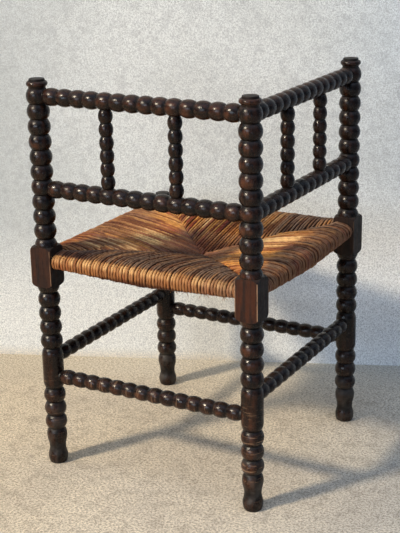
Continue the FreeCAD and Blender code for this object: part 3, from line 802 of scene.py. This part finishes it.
def cord_tone(side, spots, luck):
    """How aged, red and pale the rush is at each point, where it is new on the band and where light is
    painted on it, and how deep in painted shade it lies.
    """
    look = SIDE_TONES[side](spots)
    band, under = spots.band, spots.under
    luckier = luck[0] - 0.5
    age = (look["age"] + look["varied"] * luckier) * (1 - band)
    age = age + (look["band_age"] + 0.25 * luckier) * band
    age = age * (1 - under) + (0.60 + 0.3 * luckier) * under
    red = look["red"] * (0.35 + 0.65 * ramp(luck[1], 0.35, 0.60)) * (1 - band)
    red = red + look["band_red"] * ramp(luck[1], 0.3, 0.9) * band
    pale = look["pale"] * ramp(luck[2], 0.15, 0.60) * (1 - band)
    pale = (pale + look["band_pale"] * ramp(luck[2], 0.0, 0.8) * band) * (1 - under)
    fresh_and_lit = np.maximum(np.maximum(band, under * 0.3), look["painted_light"])
    return np.clip(np.stack([age, red, pale, fresh_and_lit], axis=-1), 0.0, MOST_TONE), look["shade"]


def tint_cords(mesh, side, chance):
    """Record each point's place on its cord and the tone of the rush there."""
    grid = point_places(mesh).reshape(CORDS, -1, PROFILE_POINTS, 3)
    middles = grid.mean(axis=2)
    steps = np.linalg.norm(np.diff(middles, axis=1, prepend=middles[:, :1]), axis=2)
    gone = np.cumsum(steps, axis=1)
    crosswise = side in CROSSWISE

    # coordinates round and along each cord, different for each
    angle = 2 * np.pi * np.arange(PROFILE_POINTS) / PROFILE_POINTS
    fibre = np.zeros(grid.shape)
    fibre[..., 0] = np.cos(angle)
    fibre[..., 1] = np.sin(angle)
    fibre[..., 2] = (gone + np.arange(CORDS)[:, None] * CORD_SHIFT)[..., None]
    # coordinates across and along the panel, scaled so that streaks are long and narrow
    lay = np.zeros(grid.shape)
    lay[..., 0] = middles[..., None, 0] * (LAY_CROSSWISE if crosswise else LAY_ACROSS)
    lay[..., 1] = gone[..., None] * LAY_ALONG
    lay[..., 2] = PANELS[side] * LAY_SHIFT

    luck = [np.array([chance.random() for _ in range(CORDS)])[:, None] for _ in range(3)]
    spots = Spots(middles[..., 0], middles[..., 1], middles[..., 2])
    tone, shade = cord_tone(side, spots, luck)
    tone = np.repeat(tone[:, :, None, :], PROFILE_POINTS, axis=2)

    # painted shade in the gaps between cords, softer on the pale band at the back and inside the seat,
    # with the panel's own painted shade on top
    beside = np.abs(grid[..., 0] - middles[..., None, 0]) / CORD_HALF
    inside = ramp(middles[..., None, 1], *INSIDE_OUT) if crosswise else 0.0
    shaded_from = (0.32 if crosswise else 0.42) + 0.26 * inside
    shown = (1 - (0.7 if side == "back_left" else 0.0) * tone[..., 3]) * (1 - 0.35 * inside)
    crease_shade = np.maximum(ramp(beside, shaded_from, 0.98) * shown, 0.85 * shade[..., None])
    store(mesh, "lay", "FLOAT_VECTOR", lay)
    store(mesh, "crease_shade", "FLOAT", crease_shade)
    store(mesh, "fibre", "FLOAT_VECTOR", fibre)
    store(mesh, "tone", "FLOAT_COLOR", tone)


# Loose fibres along the back left edge. Roots lie on the rounding or at the ragged places, given
# as a place and a count; leanings are spans of x, y and z; a thickness is a share of FRAY_HALF.

FRAY_HALF = 0.00028
FRAY_STEPS = 3
FRAY_BEND = 0.0014
FRAY_PARTS = (0.0, 0.55, 1.0)
FRAY_NARROWING = (1.0, 0.8, 0.3)
HANGING_UP = (0.400, 0.392)
FUZZ_COUNT = 130
FUZZ_START = 0.18
FUZZ_REACH = 0.36
FUZZ_CROWDING = 1.6
FUZZ_OUT = (0.2135, 0.2225)
FUZZ_SUNK = 0.0015
FUZZ = {"leaning": ((-0.8, 0.8), (0.3, 0.9), (0.2, 1.0)),
        "length": (0.004, 0.009), "thickness": (0.5, 1.0)}
RAGGED_AT = ((-0.063, 9), (-0.122, 5), (-0.085, 3), (0.02, 3), (-0.16, 3))
RAGGED_SPREAD = 0.007
RAGGED_OUT = (0.200, 0.217)
RAGGED_UP = 0.3855
RAGS = {"leaning": ((-0.9, 0.9), (-0.3, 0.5), (-1.0, -0.3)),
        "length": (0.006, 0.012), "thickness": (1.2, 2.4)}


def loose_end(chance, root, leaning, length, thickness):
    """A loose fibre's root, the way to its tip and its thickness."""
    way = Vector([chance.uniform(*span) for span in leaning])
    return root, way.normalized() * chance.uniform(*length), chance.uniform(*thickness)


def loose_ends(chance):
    """A short fuzz on top of the edge, thicker to one end, and a few ragged ends below."""
    ends = []
    for _ in range(FUZZ_COUNT):
        across = FUZZ_START - FUZZ_REACH * chance.random() ** FUZZ_CROWDING
        out = chance.uniform(*FUZZ_OUT)
        top = RUSH_TOP - RUSH_TURN + math.sqrt(RUSH_TURN ** 2 - max(out - RUSH_EDGE, 0.0) ** 2)
        ends.append(loose_end(chance, Vector((across, out, top - FUZZ_SUNK)), **FUZZ))
    for place, count in RAGGED_AT:
        for _ in range(count):
            across = place + chance.uniform(-RAGGED_SPREAD, RAGGED_SPREAD)
            root = Vector((across, chance.uniform(*RAGGED_OUT), RAGGED_UP))
            ends.append(loose_end(chance, root, **RAGS))
    return ends


def fray_edge(chance):
    """The loose fibres as a single mesh, in the +Y position."""
    curve = new_curve("rush_frays", FRAY_STEPS)
    curve.bevel_depth = FRAY_HALF
    curve.bevel_resolution = 1
    for root, way, thickness in loose_ends(chance):
        bend = Vector([chance.uniform(-FRAY_BEND, FRAY_BEND) for _ in range(3)])
        points = new_spline(curve, len(FRAY_PARTS))
        for point, part, narrowed in zip(points, FRAY_PARTS, FRAY_NARROWING):
            point.co = root + way * part + bend * (part * (1 - part) * 4)
            point.radius = thickness * narrowed
    piece = as_mesh(curve)
    places = point_places(piece.data)
    hanging = ramp(places[:, 2], *HANGING_UP)
    tone = np.stack([hanging * 0.75, hanging * 0.2, 1 - hanging, 1 - hanging], axis=-1)
    store(piece.data, "tone", "FLOAT_COLOR", tone)
    store(piece.data, "fibre", "FLOAT_VECTOR", places)
    store(piece.data, "lay", "FLOAT_VECTOR", places)
    return piece


RUSH_TAN = (0.41, 0.165, 0.050)
RUSH_GOLD = (0.72, 0.315, 0.062)
RUSH_GREY = (0.252, 0.152, 0.093)
RUSH_RED = (0.36, 0.062, 0.022)
RUSH_PALE = (0.98, 0.62, 0.26)
# painted shade for the gaps between cords
RUSH_GAP_SHADE = (0.15, 0.048, 0.018)
RUSH_MURK = (0.38, 0.20, 0.085)
RUSH_THREAD = (0.60, 0.48, 0.37)
ENDS_DARK = (0.20, 0.125, 0.06)
ENDS_PALE = (0.46, 0.33, 0.17)


def woven_rush():
    """Twisted rush: long fibres in streaks, some red, some pale, greyed with wear, with painted light
    where its tone says and painted shade between cords.
    """
    finish = Finish("woven_rush")
    fibre = finish.stored("fibre", "Vector")
    lay = finish.stored("lay", "Vector")
    crease_shade = finish.stored("crease_shade", "Fac")
    tone = finish.stored("tone", "Color")
    age, red, pale = finish.add("ShaderNodeSeparateColor", Color=tone).outputs
    fresh_and_lit = finish.stored("tone", "Alpha")
    leaves = finish.noise(lay, 1.0, 2.0, 0.5)
    wisps = finish.noise(finish.stretch(lay, (1.3, 1.5, 1.7)), 1.0, 2.0, 0.5)
    murk = finish.noise(finish.stretch(lay, (1.7, 1.2, 2.9)), 1.0, 2.0, 0.5)
    threads = finish.noise(finish.stretch(fibre, (6.0, 6.0, 45.0)), 2.2, 4.0, 0.7)
    reddened = finish.times(red, finish.mask(leaves, 0.49, 0.55))
    # the tone's alpha marks the new rush of the band and the painted light on top; both make the rush
    # paler and keep the murk off
    paled = finish.times(pale, finish.most(finish.mask(wisps, 0.51, 0.42), fresh_and_lit))
    aged = finish.times(age, finish.span(finish.mask(wisps, 0.36, 0.56), 0.62, 1.0))
    murky = finish.times(finish.mask(murk, 0.48, 0.60), finish.span(fresh_and_lit, 0.90, 0.30))
    colour = finish.blend(fresh_and_lit, RUSH_GOLD, RUSH_TAN)
    colour = finish.blend(reddened, colour, RUSH_RED)
    colour = finish.blend(paled, colour, RUSH_PALE)
    colour = finish.blend(aged, colour, RUSH_GREY)
    colour = finish.deepen(murky, colour, RUSH_MURK)
    colour = finish.deepen(finish.mask(threads, 0.56, 0.34), colour, RUSH_THREAD)
    # painted shade in the gaps between cords and low on the band
    colour = finish.deepen(crease_shade, colour, RUSH_GAP_SHADE)
    finish.set(Base_Color=colour, Roughness=finish.span(threads, 0.36, 0.62), Specular_IOR_Level=0.26)
    finish.set(Normal=finish.bump(threads, 0.6, 0.0008))
    return finish.material


def finish_stuffing():
    """Short ends of rush packed inside the seat, where nothing shows them."""
    finish = Finish("rush_stuffing")
    ends = finish.noise(finish.place(scale=(1.0, 1.0, 3.0)), 220.0, 4.0, 0.7)
    colour = finish.blend(finish.mask(ends, 0.35, 0.65), ENDS_DARK, ENDS_PALE)
    finish.set(Base_Color=colour, Roughness=0.8, Normal=finish.bump(ends, 0.8, 0.003))
    for side in PANELS:
        coat_node("stuffing_" + side, finish.material)


def weave_seat():
    """Wind the four panels and their frays, in place of the solid seat."""
    profile = cord_profile()
    rush = woven_rush()
    panels = []
    for number, (side, angle) in enumerate(PANELS.items(), start=1):
        chance = random.Random(100 + number)
        panel = wind_cords(side, profile, chance)
        tint_cords(panel.data, side, chance)
        panel.data.transform(rotation(angle, "Z"))
        for face in panel.data.polygons:
            face.use_smooth = True
        panels.append(panel)
    frays = fray_edge(random.Random(200))
    frays.data.transform(rotation(PANELS["back_left"], "Z"))
    for piece in panels + [frays]:
        coat(piece, rush)
        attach(piece, "root")
    bpy.data.objects.remove(profile)
    for panel in panels:
        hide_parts("rush_seat")


set_camera()
lay_floor()
raise_wall()
light_room()
finish_wood()
finish_stuffing()
weave_seat()

bpy.context.scene.view_settings.view_transform = "Standard"
